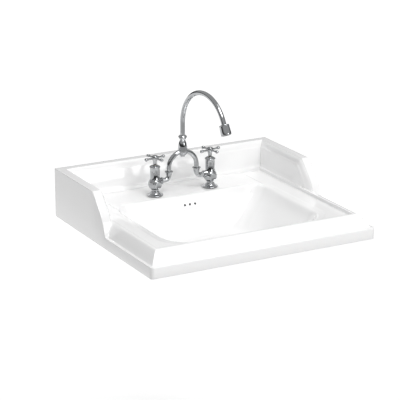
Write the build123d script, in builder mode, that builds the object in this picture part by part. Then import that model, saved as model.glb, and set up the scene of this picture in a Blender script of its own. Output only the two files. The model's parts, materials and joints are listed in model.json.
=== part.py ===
from build123d import *
import math
import os

os.makedirs("parts", exist_ok=True)

# ---------------------------------------------------------------- basin, overall
# X to the right, Y = 0 on the wall with the room at -Y, Z = 0 level with the wall bolts.
BASIN_W = 650.0
BASIN_D = 565.0
APRON_H = 31.0
APRON_CORNER_R = 9.0
APRON_T = 14.0
SHELF_Z = 53.0
HOLLOW_TOP_Z = 31.0
SHELF_UNDER_Z = 40.0
SHELF_UNDER_INSET = 34.0
DECK_Z = 55.0
DECK_UNDER_Z = 42.0
DECK_HALF_W = 226.0
DECK_EDGE_R = 1.5
BOWL_BACK_Y = -150.0

# Rim moulding as (inset from the apron face, height), and how much deeper it is at the front.
RIM_STEPS = ((8.0, 31.0), (8.6, 33.5), (13.0, 37.0), (17.5, 43.0), (21.5, 50.5), (25.0, 57.0), (29.0, 61.6))
RIM_TOP_Z = 62.0
RIM_TOP_INSET = 30.5
RIM_INNER_INSET = 41.0
FRONT_RATIO = 1.2

# ---------------------------------------------------------------- upstand
UPSTAND_Z = 136.0
UPSTAND_T = 41.0
UPSTAND_FRONT = ((-238.0, 136.0), (-289.0, 76.0), (-315.0, 24.0))
SLANT_SHIFT = 1.25
MOULD_STEPS = ((25.0, 0.0), (28.0, 1.6), (31.5, 6.5), (34.0, 12.0), (36.5, 16.8), (39.0, 18.6), (41.0, 19.0))
PANEL_T = 13.0
CAVITY_TOP_Z = 106.0
CAVITY_FRONT_Y = -230.0

# ---------------------------------------------------------------- bowl
# Sections as (height, half width, front, back, front corner radius, back corner radius).
BOWL_INNER = (
    (62.0, 227.0, -499.0, -148.0, 84.0, 34.0),
    (30.0, 209.0, -491.0, -157.0, 84.0, 36.0),
    (0.0, 180.0, -476.0, -172.0, 80.0, 38.0),
    (-25.0, 154.0, -452.0, -186.0, 74.0, 40.0),
    (-41.0, 134.0, -416.0, -198.0, 64.0, 42.0),
    (-49.0, 112.0, -370.0, -208.0, 54.0, 44.0),
    (-51.0, 88.0, -330.0, -218.0, 44.0, 40.0),
)
WALL_T = 11.0
SHELL_TOP_Z = 44.0
LIP_R = 6.0
OVERFLOW_R = 3.0
OVERFLOW_PITCH = 15.5
OVERFLOW_Z = 29.0
DUCT_HALF_W = 20.0
DUCT_CASE_HALF_W = 30.0
DUCT = ((-142.0, 36.0), (-131.0, 36.0), (-135.0, 0.0), (-143.0, -25.0), (-158.0, -55.0), (-177.0, -77.0),
        (-250.0, -77.0), (-250.0, -66.0), (-198.0, -66.0), (-178.0, -50.0), (-164.0, -25.0), (-150.0, 0.0))
DUCT_CASE = ((-142.0, 43.0), (-121.0, 43.0), (-125.0, 0.0), (-133.0, -28.0), (-149.0, -62.0),
             (-172.0, -84.0), (-250.0, -84.0), (-250.0, -56.0), (-205.0, -56.0), (-180.0, -36.0),
             (-168.0, -10.0), (-158.0, 10.0))
LAND_Z = -72.0
LAND_TOP_Z = -61.0
LAND_HALF_W = 96.0
LAND_BACK_Y = -205.0
LAND_FRONT_Y = -325.0
LAND_T = 15.0

# ---------------------------------------------------------------- wall flange
FLANGE_HALF_W = 200.0
FLANGE_Z = -46.0
WALL_BOLT_X = 140.0
WALL_BOLT_R = 7.0

# ---------------------------------------------------------------- tap positions
TAP_X = 84.0
TAP_Y = -116.0
TAP_HOLE_R = 14.0
SIDES = (("left", -1), ("right", 1))
HANDLE_TURN = 11.0
FIT = 0.04
GAP = 0.3

# ---------------------------------------------------------------- pillar and valve
TAIL_R = 10.478
TAIL_END_Z = -28.0
TAIL_BORE_R = 6.5
RELIEF = 0.8
SEAL_T = 1.5
SEAL_R = 20.0
FOOT_Z = DECK_Z + SEAL_T
FOOT_R = 22.0
FOOT_TOP_Z = 66.0
DECK_WASHER_T = 2.5
BACKNUT_T = 8.0
BACKNUT_FLATS = 30.0
BULB_Z = 88.0
BULB_R = 18.5
BODY_TOP_Z = 101.0
BODY_TOP_R = 13.4
BRANCH_Z = 94.0
BOSS_R = 10.5
BOSS_PROUD = 20.5
SEAT_Z = 79.0
CHAMBER_R = 12.0
CHAMBER_Z = 84.0
CHAMBER_TOP_Z = 94.0
CART_R = 9.5
CART_TOP_Z = 122.0
CART_BORE_R = 7.6
CART_NECK_Z = 93.0
CART_WINDOW_R = 2.5
DISC_R = 7.5
DISC_T = 2.5
DISC_GAP = 0.05
PORT_R = 2.2
PORT_OFFSET = 4.4
SPINDLE_R = 4.5
SPINDLE_HEAD_R = 6.0
SPINDLE_STEP_Z = 141.0
SPINDLE_TOP_Z = 158.0
RING_Z = 110.0
RING_SECTION_R = 0.48
BONNET_R = 12.8
BONNET_RIM_R = 14.5
BONNET_BORE_R = 9.55

# ---------------------------------------------------------------- handle
HANDLE_Z = 160.0
HANDLE_FOOT_Z = 141.2
ARM_START = 5.0
ARM_R = 3.3
ARM_TAPER = 2.6
ARM_REACH = 29.3
ARM_RING_R = 3.5
ARM_RING_T = 1.3
BALL_R = 4.6
SPLINE_R = 4.0
SCREW_R = 2.0
SCREW_HEAD_R = 3.5
SCREW_FOOT_Z = 148.0
SCREW_SEAT_Z = 161.5
CAP_R = 6.4
CAP_SEAT_Z = 164.5

# ---------------------------------------------------------------- bridge
BRIDGE_X = 42.0
ELBOW_R = 7.0
ELBOW_BORE_R = 5.0
ELBOW_BEND = 12.0
ELBOW_START_X = 69.0
SOCKET_R = 8.4
SOCKET_X = 62.5
SOCKET_RING_R = 9.8
SOCKET_RING_X = 64.5
ELBOW_TOP_Z = 113.5
ARCH_R = 6.2
ARCH_BORE_R = 4.8
HUB_Z = 167.0
ARCH_BEND_Z = HUB_Z - BRIDGE_X
HUB_R = 13.2
HUB_BUTTON_R = 6.0
HUB_SOCKET_X = 7.5
HUB_BORE_R = 4.2

# ---------------------------------------------------------------- spout
SPOUT_R = 6.8
SPOUT_BORE_R = 5.5
SPOUT_FOOT_Z = 202.8
SPOUT_RIB_Z = 207.2
SPOUT_RIB_R = 7.9
SPOUT_SOCKET_R = 8.0
NECK_R = 9.3
NECK_FOOT_Z = 203.4
NECK_TOP_Z = 209.5
COLLAR_TOP_Z = 211.8
SPOUT_TURN = math.radians(5.0)
SPOUT_BEND_Z = 246.0
SPOUT_BEND_R = 102.0
SPOUT_BEND = math.radians(155.0)
SPOUT_STRAIGHT = 16.0
SPOUT_RINGS_Z = (204.2, 206.2)
SPOUT_RING_SECTION_R = 0.48
HOUSING_H = 28.0
HOUSING_GRIP = 11.0
AERATOR_BORE_R = 11.2
AERATOR_BORE_H = 13.0
INSERT_INSET = 0.6
INSERT_T = 10.0
INSERT_HOLE_R = 1.1
INSERT_RINGS = ((4.0, 6), (8.0, 12))

# ---------------------------------------------------------------- waste
WASTE_Y = -262.0
WASTE_SEAT_Z = -59.0
WASTE_HOLE_R = 23.0
WASTE_FLANGE_R = 32.0
WASTE_SEAL_T = 1.5
WASTE_R = 20.955
WASTE_BORE_R = 18.0
WASTE_END_Z = -112.0
WASTE_RELIEF_Z = (-100.0, -99.0)
BOSS_END_Z = -84.0
WASTE_BOSS_R = 38.0
SLOT_W = 12.0
SLOT_Z = (-76.0, -67.0)
SPIDER_Z = (-99.0, -94.0)
SPIDER_W = 5.0
SPIDER_HUB_R = 7.0
LOWER_SEAL_T = 4.0
WASTE_NUT_T = 10.0
WASTE_NUT_FLATS = 60.0
CLICK_R = 6.0
CLICK_STUD_R = 4.0
CLICK_TOP_Z = -72.0
PLUNGER_R = 2.5
PLUNGER_Z = (-86.0, -58.0)
PLUG_R = 24.5
PLUG_Z = -53.0
PLUG_SEAL_R = (14.0, 20.8)
PLUG_SEAL_T = 2.7

UP = (0, 0, 1)
TAP_SPOTS = [(-TAP_X, TAP_Y), (TAP_X, TAP_Y)]


def upright(x, y):
    """The plane whose own Y axis is the vertical line through x, y."""
    return Plane(origin=(x, y, 0), x_dir=(1, 0, 0), z_dir=(0, -1, 0))


def turn_about(plane, outline, mode=Mode.ADD):
    """Revolve a closed outline of (radius, height) points about a plane's own Y axis."""
    with BuildSketch(plane) as half:
        with BuildLine():
            Polyline(*outline, close=True)
        make_face()
    revolve(half.sketch, axis=Axis(plane.origin, plane.y_dir), mode=mode)


def turn(x, y, outline, mode=Mode.ADD):
    """Revolve a closed outline of (radius, height) points about the vertical line through x, y."""
    turn_about(upright(x, y), outline, mode)


def turn_curve(x, y, curve, corners, mode=Mode.ADD):
    """Revolve an outline whose outer side is a smooth curve, closed by straight lines through corners."""
    with BuildSketch(upright(x, y)) as half:
        with BuildLine():
            Spline(*curve)
            Polyline(curve[-1], *corners, curve[0])
        make_face()
    revolve(half.sketch, axis=Axis((x, y, 0), UP), mode=mode)


def drill(x, y, radius, bottom, top, mode=Mode.SUBTRACT):
    """Cut, or with Mode.ADD raise, a vertical cylinder."""
    with BuildSketch(Plane.XY.offset(bottom)) as round_face:
        with Locations((x, y)):
            Circle(radius)
    extrude(round_face.sketch, amount=top - bottom, mode=mode)


def prism(points, half_width, mode=Mode.ADD):
    """Extrude a closed side profile of (y, z) points both ways along X."""
    with BuildSketch(Plane.YZ) as side_face:
        with BuildLine():
            Polyline(*points, close=True)
        make_face()
    extrude(side_face.sketch, amount=half_width, both=True, mode=mode)


def ring(x, y, inner, outer, bottom, top):
    """A flat ring."""
    with BuildSketch(Plane.XY.offset(bottom)) as ring_face:
        with Locations((x, y)):
            Circle(outer)
            Circle(inner, mode=Mode.SUBTRACT)
    extrude(ring_face.sketch, amount=top - bottom)


def o_ring(x, y, centre_r, section_r, z):
    """A rubber ring of round section."""
    with BuildSketch(upright(x, y)) as section:
        with Locations((centre_r, z)):
            Circle(section_r)
    revolve(section.sketch, axis=Axis((x, y, 0), UP))


def cross_drill(x_from, x_to, y, z, radius, mode=Mode.SUBTRACT):
    """Cut, or with Mode.ADD raise, a cylinder along X."""
    with BuildSketch(Plane.YZ.offset(min(x_from, x_to))) as round_face:
        with Locations((y, z)):
            Circle(radius)
    extrude(round_face.sketch, amount=abs(x_to - x_from), mode=mode)


def sweep_round(path, radius, mode=Mode.ADD):
    """Sweep a circle along a path."""
    with BuildSketch(Plane(origin=path @ 0, z_dir=path % 0)) as section:
        Circle(radius)
    sweep(section.sketch, path=path, mode=mode)


def elbow_path(sign):
    """From the bulb's socket inward and up to the union."""
    with BuildLine(Plane(origin=(0, TAP_Y, 0), x_dir=(sign, 0, 0), z_dir=(0, -sign, 0))) as path:
        corner = (BRIDGE_X, BRANCH_Z)
        FilletPolyline((ELBOW_START_X, BRANCH_Z), corner, (BRIDGE_X, ELBOW_TOP_Z), radius=ELBOW_BEND)
    return path.wire()


def arch_path(sign):
    """From the union up and over to the hub, a quarter circle short of the hub's middle."""
    end_angle = math.acos(HUB_SOCKET_X / BRIDGE_X)
    points = []
    for angle in (end_angle / 2, end_angle):
        points.append((BRIDGE_X * math.cos(angle), ARCH_BEND_Z + BRIDGE_X * math.sin(angle)))
    with BuildLine(Plane(origin=(0, TAP_Y, 0), x_dir=(sign, 0, 0), z_dir=(0, -sign, 0))) as path:
        Line((BRIDGE_X, ELBOW_TOP_Z), (BRIDGE_X, ARCH_BEND_Z))
        ThreePointArc((BRIDGE_X, ARCH_BEND_Z), *points)
    return path.wire()


def spout_plane():
    """The upright plane the spout bends in, with its own X axis pointing out over the bowl."""
    out = (math.sin(SPOUT_TURN), -math.cos(SPOUT_TURN), 0)
    return Plane(origin=(0, TAP_Y, 0), x_dir=out, z_dir=(out[1], -out[0], 0))


def spout_path():
    """Up from the socket, over in one large bend and a little straight on."""
    arc = []
    for angle in (SPOUT_BEND / 2, SPOUT_BEND):
        arc.append((SPOUT_BEND_R * (1 - math.cos(angle)), SPOUT_BEND_Z + SPOUT_BEND_R * math.sin(angle)))
    end_reach = arc[1][0] + SPOUT_STRAIGHT * math.sin(SPOUT_BEND)
    end_z = arc[1][1] + SPOUT_STRAIGHT * math.cos(SPOUT_BEND)
    with BuildLine(spout_plane()) as path:
        Line((0, SPOUT_FOOT_Z), (0, SPOUT_BEND_Z))
        ThreePointArc((0, SPOUT_BEND_Z), *arc)
        Line(arc[1], (end_reach, end_z))
    return path.wire()


def outlet_plane():
    """The plane of the aerator's section, its origin in the outlet face and its Y axis up the tube."""
    path = spout_path()
    side = spout_plane().z_dir
    outlet = path @ 1 + (path % 1) * (HOUSING_H - HOUSING_GRIP)
    back = -(path % 1)
    return Plane(origin=outlet, x_dir=back.cross(side), z_dir=side)


def hexagon(x, y, across_flats, bore, bottom, top):
    """A hexagonal nut with a plain bore."""
    with BuildSketch(Plane.XY.offset(bottom)) as nut_face:
        with Locations((x, y)):
            RegularPolygon(across_flats / 2, 6, major_radius=False)
            Circle(bore, mode=Mode.SUBTRACT)
    extrude(nut_face.sketch, amount=top - bottom)


def keep(builder, name):
    """Label a finished piece and write it."""
    builder.part.label = name
    export_step(builder.part, f"parts/{name}.step")


def loft_bowl(sections, grow, mode):
    """Loft the bowl's sections, each side set out by grow, with its own front and back corners."""
    faces = []
    for z, half_w, front, back, front_corner, back_corner in sections:
        with BuildSketch(Plane.XY.offset(z)) as section:
            with Locations((0, (front + back) / 2)):
                Rectangle(2 * (half_w + grow), back - front + 2 * grow)
            for end, corner in ((0, front_corner), (-1, back_corner)):
                fillet(section.vertices().group_by(Axis.Y)[end], radius=corner + grow)
        faces.append(section.sketch.face())
    loft(faces, mode=mode)


def box(x_from, x_to, y_from, y_to, z_from, z_to, mode=Mode.ADD):
    """A box between limits."""
    with BuildSketch(Plane.XY.offset(z_from)) as base:
        with Locations(((x_from + x_to) / 2, (y_from + y_to) / 2)):
            Rectangle(abs(x_to - x_from), abs(y_to - y_from))
    extrude(base.sketch, amount=z_to - z_from, mode=mode)


def in_bowl_mouth(edge):
    """Whether an edge lies on the mouth of the bowl rather than on the rim."""
    return abs(edge.center().X) < BOWL_INNER[0][1] + GAP


def wing_face(x, drop):
    """The side outline of an upstand wing at x, with its top and slanted front drawn in by drop."""
    (top_y, top_z), (knee_y, knee_z), (foot_y, foot_z) = UPSTAND_FRONT
    shift = drop * SLANT_SHIFT
    crest_y = top_y + (knee_y - top_y) * drop / (top_z - knee_z) + shift
    with BuildSketch(Plane.YZ.offset(x)) as outline:
        with BuildLine():
            Polyline((0, top_z - drop), (crest_y, top_z - drop), (knee_y + shift, knee_z),
                     (foot_y + shift, foot_z), (0, foot_z), close=True)
        make_face()
    return outline.sketch.face()


# ================================================================ basin
with BuildPart() as basin:
    # Apron block, stepped rim and sunken shelf.
    box(-BASIN_W / 2, BASIN_W / 2, -BASIN_D, 0, 0, APRON_H)
    fillet(basin.edges().filter_by(Axis.Z).group_by(Axis.Y)[0], radius=APRON_CORNER_R)
    rim_faces = []
    for inset, height in RIM_STEPS + ((RIM_TOP_INSET, RIM_TOP_Z),):
        rim_depth = BASIN_D - inset * FRONT_RATIO
        with BuildSketch(Plane.XY.offset(height)) as rim_section:
            with Locations((0, -rim_depth / 2)):
                Rectangle(BASIN_W - 2 * inset, rim_depth)
        rim_faces.append(rim_section.sketch.face())
    loft(rim_faces, ruled=True)
    tray_half_w = BASIN_W / 2 - RIM_INNER_INSET
    tray_front_y = RIM_INNER_INSET * FRONT_RATIO - BASIN_D
    box(-tray_half_w, tray_half_w, tray_front_y, 0, SHELF_Z, UPSTAND_Z, Mode.SUBTRACT)
    # Raised tap deck.
    box(-DECK_HALF_W, DECK_HALF_W, BOWL_BACK_Y - LIP_R, 0, APRON_H, DECK_Z)
    deck_top = basin.edges().filter_by_position(Axis.Z, DECK_Z - FIT, DECK_Z + FIT)
    fillet(deck_top.filter_by(Axis.Y), radius=DECK_EDGE_R)
    # Upstand: a moulded panel along the wall and a wing on each side.
    with BuildSketch(Plane.YZ) as panel_profile:
        with BuildLine():
            Polyline((-UPSTAND_T, UPSTAND_Z - MOULD_STEPS[-1][1]), (-UPSTAND_T, APRON_H), (0, APRON_H),
                     (0, UPSTAND_Z), (-MOULD_STEPS[0][0], UPSTAND_Z))
            Spline(*[(-inset, UPSTAND_Z - drop) for inset, drop in MOULD_STEPS])
        make_face()
    extrude(panel_profile.sketch, amount=BASIN_W / 2, both=True)
    for side, sign in SIDES:
        wing = [wing_face(sign * BASIN_W / 2, 0)]
        wing += [wing_face(sign * (BASIN_W / 2 - inset), drop) for inset, drop in MOULD_STEPS]
        loft(wing, ruled=True)
    # Hollow underside, with the casting's cavities open below.
    hollow_half_w = BASIN_W / 2 - APRON_T
    box(-hollow_half_w, hollow_half_w, APRON_T - BASIN_D, -APRON_T, 0, HOLLOW_TOP_Z, Mode.SUBTRACT)
    shelf_under_half_w = BASIN_W / 2 - SHELF_UNDER_INSET
    box(-shelf_under_half_w, shelf_under_half_w, SHELF_UNDER_INSET * FRONT_RATIO - BASIN_D, -UPSTAND_T,
        0, SHELF_UNDER_Z, Mode.SUBTRACT)
    deck_under_half_w = DECK_HALF_W - APRON_T
    box(-deck_under_half_w, deck_under_half_w, BOWL_BACK_Y, -APRON_T, 0, DECK_UNDER_Z, Mode.SUBTRACT)
    box(-hollow_half_w, hollow_half_w, PANEL_T - UPSTAND_T, -PANEL_T, 0, CAVITY_TOP_Z, Mode.SUBTRACT)
    for side, sign in SIDES:
        cavity_inner = sign * (BASIN_W / 2 - UPSTAND_T + PANEL_T)
        box(cavity_inner, sign * hollow_half_w, CAVITY_FRONT_Y, -PANEL_T, 0, CAVITY_TOP_Z, Mode.SUBTRACT)
    # Bowl shell, overflow duct, waste boss, pedestal land and wall flange, all below the shelf.
    shell_sections = [(SHELL_TOP_Z, *BOWL_INNER[0][1:])]
    shell_sections += [(section[0] - WALL_T, *section[1:]) for section in BOWL_INNER[1:]]
    loft_bowl(shell_sections, WALL_T, Mode.ADD)
    prism(DUCT_CASE, DUCT_CASE_HALF_W)
    drill(0, WASTE_Y, WASTE_BOSS_R, BOSS_END_Z, WASTE_SEAT_Z, Mode.ADD)
    with BuildSketch(Plane.XY.offset(LAND_Z)) as land:
        with Locations((0, (LAND_FRONT_Y + LAND_BACK_Y) / 2)):
            Rectangle(2 * LAND_HALF_W, LAND_BACK_Y - LAND_FRONT_Y)
        with Locations((0, (LAND_FRONT_Y + LAND_BACK_Y) / 2 + LAND_T)):
            Rectangle(2 * (LAND_HALF_W - LAND_T), LAND_BACK_Y - LAND_FRONT_Y, mode=Mode.SUBTRACT)
    extrude(land.sketch, amount=LAND_TOP_Z - LAND_Z)
    box(-FLANGE_HALF_W, FLANGE_HALF_W, -APRON_T, 0, FLANGE_Z, APRON_T)
    # Bowl, overflow, waste hole, tap holes and wall bolt holes.
    loft_bowl(BOWL_INNER, 0, Mode.SUBTRACT)
    prism(DUCT, DUCT_HALF_W, Mode.SUBTRACT)
    with BuildSketch(Plane.XZ.offset(-DUCT[1][0])) as overflow_holes:
        with Locations((0, OVERFLOW_Z), (-OVERFLOW_PITCH, OVERFLOW_Z), (OVERFLOW_PITCH, OVERFLOW_Z)):
            Circle(OVERFLOW_R)
    extrude(overflow_holes.sketch, amount=-DUCT[1][0] / 4, mode=Mode.SUBTRACT)
    shelf_edges = basin.edges().filter_by_position(Axis.Z, SHELF_Z - FIT, SHELF_Z + FIT)
    lip_edges = shelf_edges.filter_by_position(Axis.Y, BOWL_INNER[0][2] - GAP, BOWL_BACK_Y - LIP_R - GAP)
    fillet(lip_edges.filter_by(in_bowl_mouth), radius=LIP_R)
    drill(0, WASTE_Y, WASTE_HOLE_R, BOSS_END_Z, DECK_Z)
    drill(0, WASTE_Y, WASTE_FLANGE_R + 1.0, WASTE_SEAT_Z, DECK_Z)
    for tap_x, tap_y in TAP_SPOTS:
        drill(tap_x, tap_y, TAP_HOLE_R, 0, UPSTAND_Z)
    with BuildSketch(Plane.XZ) as bolt_holes:
        with Locations((-WALL_BOLT_X, 0), (WALL_BOLT_X, 0)):
            Circle(WALL_BOLT_R)
    extrude(bolt_holes.sketch, amount=APRON_T, mode=Mode.SUBTRACT)
keep(basin, "basin")


# ================================================================ tap pillars
with BuildPart() as base_seals:
    for tap_x, tap_y in TAP_SPOTS:
        ring(tap_x, tap_y, TAIL_R + GAP, SEAL_R, DECK_Z, FOOT_Z)
keep(base_seals, "base_seals")

with BuildPart() as deck_washers:
    for tap_x, tap_y in TAP_SPOTS:
        ring(tap_x, tap_y, TAIL_R + GAP, SEAL_R, DECK_UNDER_Z - DECK_WASHER_T, DECK_UNDER_Z)
keep(deck_washers, "deck_washers")

with BuildPart() as backnuts:
    nut_top_z = DECK_UNDER_Z - DECK_WASHER_T
    for tap_x, tap_y in TAP_SPOTS:
        hexagon(tap_x, tap_y, BACKNUT_FLATS, TAIL_R + FIT, nut_top_z - BACKNUT_T, nut_top_z)
keep(backnuts, "backnuts")

for side, sign in SIDES:
    x = sign * TAP_X
    with BuildPart() as base_flange:
        foot_curve = [(FOOT_R, 58.0), (21.2, 59.4), (17.0, 61.0), (13.4, 63.4), (12.0, FOOT_TOP_Z)]
        foot_corners = [(TAIL_R + FIT, FOOT_TOP_Z), (TAIL_R + FIT, FOOT_Z), (FOOT_R, FOOT_Z)]
        turn_curve(x, TAP_Y, foot_curve, foot_corners)
    keep(base_flange, f"base_flange_{side}")

    with BuildPart() as pillar_body:
        turn(x, TAP_Y, [(0, TAIL_END_Z), (TAIL_R, TAIL_END_Z), (TAIL_R, 30.0), (TAIL_R - RELIEF, 30.0),
                        (TAIL_R - RELIEF, 31.0), (TAIL_R, 31.0), (TAIL_R, FOOT_TOP_Z), (12.0, FOOT_TOP_Z),
                        (12.0, 67.2), (9.4, 68.4), (9.2, 72.0), (12.0, 76.0), (BODY_TOP_R, 96.0),
                        (BODY_TOP_R, BODY_TOP_Z), (0, BODY_TOP_Z)])
        with Locations((x, TAP_Y, BULB_Z)):
            Sphere(BULB_R)
        with BuildSketch(Plane.XZ.offset(-TAP_Y + BOSS_R)) as boss:
            with Locations((x, BULB_Z)):
                Circle(BOSS_R)
        extrude(boss.sketch, amount=BOSS_PROUD - BOSS_R)
        fillet(pillar_body.edges().group_by(Axis.Y)[0], radius=BOSS_PROUD - BULB_R)
        cross_drill(x - sign * CHAMBER_R, sign * SOCKET_X, TAP_Y, BRANCH_Z, SOCKET_R, Mode.ADD)
        cross_drill(sign * SOCKET_RING_X, sign * SOCKET_X, TAP_Y, BRANCH_Z, SOCKET_RING_R, Mode.ADD)
        drill(x, TAP_Y, BODY_TOP_R + FIT, BODY_TOP_Z, BULB_Z + BULB_R)
        drill(x, TAP_Y, TAIL_BORE_R, TAIL_END_Z, BODY_TOP_Z)
        drill(x, TAP_Y, CART_R + FIT, SEAT_Z, BULB_Z + BULB_R)
        drill(x, TAP_Y, CHAMBER_R, CHAMBER_Z, CHAMBER_TOP_Z)
        cross_drill(x - sign * CART_R, sign * ELBOW_START_X, TAP_Y, BRANCH_Z, ELBOW_BORE_R)
        cross_drill(sign * ELBOW_START_X, sign * SOCKET_X, TAP_Y, BRANCH_Z, ELBOW_R + FIT)
    keep(pillar_body, f"pillar_body_{side}")

    with BuildPart() as cartridge_body:
        turn(x, TAP_Y, [(CART_BORE_R, SEAT_Z), (CART_R, SEAT_Z), (CART_R, CART_TOP_Z),
                        (SPINDLE_R + FIT, CART_TOP_Z), (SPINDLE_R + FIT, CART_NECK_Z),
                        (CART_BORE_R, CART_NECK_Z)])
        cross_drill(x - CHAMBER_R, x + CHAMBER_R, TAP_Y, BULB_Z, CART_WINDOW_R)
    keep(cartridge_body, f"cartridge_body_{side}")

    with BuildPart() as fixed_disc:
        drill(x, TAP_Y, DISC_R, SEAT_Z, SEAT_Z + DISC_T, Mode.ADD)
        for port in (-PORT_OFFSET, PORT_OFFSET):
            drill(x + port, TAP_Y, PORT_R, SEAT_Z, SEAT_Z + DISC_T)
    keep(fixed_disc, f"fixed_disc_{side}")

    disc_z = SEAT_Z + DISC_T + DISC_GAP
    with BuildPart() as rotating_disc:
        drill(x, TAP_Y, DISC_R, disc_z, disc_z + DISC_T, Mode.ADD)
        for port in (-PORT_OFFSET, PORT_OFFSET):
            drill(x, TAP_Y + port, PORT_R, disc_z, disc_z + DISC_T)
    keep(rotating_disc, f"rotating_disc_{side}")

    with BuildPart() as spindle:
        head_z = disc_z + DISC_T
        head_top_z = CART_NECK_Z - GAP
        groove_r = SPINDLE_R - 2 * RING_SECTION_R
        groove_half = 2 * RING_SECTION_R
        turn(x, TAP_Y, [(0, head_z), (SPINDLE_HEAD_R, head_z), (SPINDLE_HEAD_R, head_top_z),
                        (SPINDLE_R, head_top_z), (SPINDLE_R, RING_Z - groove_half),
                        (groove_r, RING_Z - groove_half), (groove_r, RING_Z + groove_half),
                        (SPINDLE_R, RING_Z + groove_half), (SPINDLE_R, SPINDLE_STEP_Z),
                        (SPLINE_R, SPINDLE_STEP_Z), (SPLINE_R, SPINDLE_TOP_Z), (0, SPINDLE_TOP_Z)])
        drill(x, TAP_Y, SCREW_R + FIT, SCREW_FOOT_Z - 1.0, SPINDLE_TOP_Z)
    keep(spindle, f"spindle_{side}")

    with BuildPart() as spindle_ring:
        o_ring(x, TAP_Y, SPINDLE_R - RING_SECTION_R + FIT / 2, RING_SECTION_R, RING_Z)
    keep(spindle_ring, f"spindle_ring_{side}")

    with BuildPart() as bonnet:
        dome = [(BONNET_RIM_R - 0.9, 137.2), (11.6, 138.4), (8.6, 139.8), (6.2, 140.6)]
        turn_curve(x, TAP_Y, dome, [(SPINDLE_R + GAP, 140.6), (SPINDLE_R + GAP, 128.0),
                                    (BONNET_BORE_R, 124.0), (BONNET_BORE_R, BODY_TOP_Z),
                                    (BODY_TOP_R, BODY_TOP_Z), (BODY_TOP_R, 102.4), (BONNET_R, 103.2),
                                    (BONNET_R, 132.4), (BONNET_RIM_R - 0.6, 134.2), (BONNET_RIM_R, 135.2),
                                    (BONNET_RIM_R, 136.2)])
    keep(bonnet, f"bonnet_{side}")

    with BuildPart() as handle:
        hub_curve = [(5.6, HANDLE_FOOT_Z), (5.0, 145.5), (5.4, 150.5), (7.0, 155.5), (8.3, HANDLE_Z),
                     (7.9, 163.6), (7.0, 166.0)]
        turn_curve(x, TAP_Y, hub_curve, [(0, 166.0), (0, HANDLE_FOOT_Z)])
        for arm in range(4):
            angle = math.radians(90 * arm + HANDLE_TURN)
            out = Vector(math.cos(angle), math.sin(angle), 0)
            centre = Vector(x, TAP_Y, HANDLE_Z)
            with BuildSketch(Plane(origin=centre + out * ARM_START, z_dir=out)) as arm_face:
                Circle(ARM_R)
            extrude(arm_face.sketch, amount=ARM_REACH - ARM_START, taper=ARM_TAPER)
            lip_start = centre + out * (ARM_REACH - BALL_R - ARM_RING_T)
            with BuildSketch(Plane(origin=lip_start, z_dir=out)) as lip:
                Circle(ARM_RING_R)
            extrude(lip.sketch, amount=ARM_RING_T)
            with Locations(centre + out * ARM_REACH):
                Sphere(BALL_R)
        drill(x, TAP_Y, SPLINE_R + FIT, HANDLE_FOOT_Z, SPINDLE_TOP_Z)
        drill(x, TAP_Y, SCREW_R + FIT, SPINDLE_TOP_Z, CAP_SEAT_Z)
        drill(x, TAP_Y, SCREW_HEAD_R + FIT, SCREW_SEAT_Z, CAP_SEAT_Z)
        drill(x, TAP_Y, CAP_R + FIT, CAP_SEAT_Z, HANDLE_Z + 2 * BALL_R)
    keep(handle, f"handle_{side}")

    with BuildPart() as handle_screw:
        drill(x, TAP_Y, SCREW_R, SCREW_FOOT_Z, SCREW_SEAT_Z, Mode.ADD)
        drill(x, TAP_Y, SCREW_HEAD_R, SCREW_SEAT_Z, CAP_SEAT_Z - GAP, Mode.ADD)
    keep(handle_screw, f"handle_screw_{side}")

    with BuildPart() as index_cap:
        cap_curve = [(CAP_R, 166.2), (5.4, 167.0), (3.0, 167.7), (0, 168.0)]
        turn_curve(x, TAP_Y, cap_curve, [(0, CAP_SEAT_Z), (CAP_R, CAP_SEAT_Z)])
    keep(index_cap, f"index_cap_{side}")

    with BuildPart() as elbow:
        sweep_round(elbow_path(sign), ELBOW_R)
        sweep_round(elbow_path(sign), ELBOW_BORE_R, Mode.SUBTRACT)
    keep(elbow, f"elbow_{side}")

    with BuildPart() as union_collar:
        flare = [(7.9, 106.0), (8.1, 109.4), (8.9, 112.4), (10.6, 114.6), (11.5, 115.6), (11.6, 116.4)]
        turn_curve(sign * BRIDGE_X, TAP_Y, flare, [(11.0, 117.0), (ARCH_R + FIT, 117.0),
                                                   (ARCH_R + FIT, ELBOW_TOP_Z), (ELBOW_R + FIT, ELBOW_TOP_Z),
                                                   (ELBOW_R + FIT, 106.0)])
    keep(union_collar, f"union_collar_{side}")

    with BuildPart() as arch_tube:
        sweep_round(arch_path(sign), ARCH_R)
        sweep_round(arch_path(sign), ARCH_BORE_R, Mode.SUBTRACT)
    keep(arch_tube, f"arch_tube_{side}")

# ================================================================ bridge hub and spout
with BuildPart() as bridge_hub:
    bell = [(13.1, HUB_Z), (12.8, 175.0), (12.0, 183.0), (10.6, 190.0), (8.4, 195.6), (6.9, 198.2)]
    turn_curve(0, TAP_Y, bell, [(9.4, 202.4), (NECK_R, NECK_FOOT_Z), (NECK_R, NECK_TOP_Z), (0, NECK_TOP_Z),
                                (0, HUB_Z)])
    with Locations((0, TAP_Y, HUB_Z)):
        Sphere(HUB_R)
    drill(0, TAP_Y, HUB_BUTTON_R, HUB_Z - HUB_R - 1.0, HUB_Z, Mode.ADD)
    drill(0, TAP_Y, HUB_BORE_R, HUB_Z, NECK_TOP_Z)
    drill(0, TAP_Y, SPOUT_SOCKET_R, SPOUT_FOOT_Z - GAP, NECK_TOP_Z)
    cross_drill(-HUB_SOCKET_X, HUB_SOCKET_X, TAP_Y, HUB_Z, HUB_BORE_R)
    for side, sign in SIDES:
        sweep_round(arch_path(sign), ARCH_R + FIT, Mode.SUBTRACT)
keep(bridge_hub, "bridge_hub")

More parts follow.
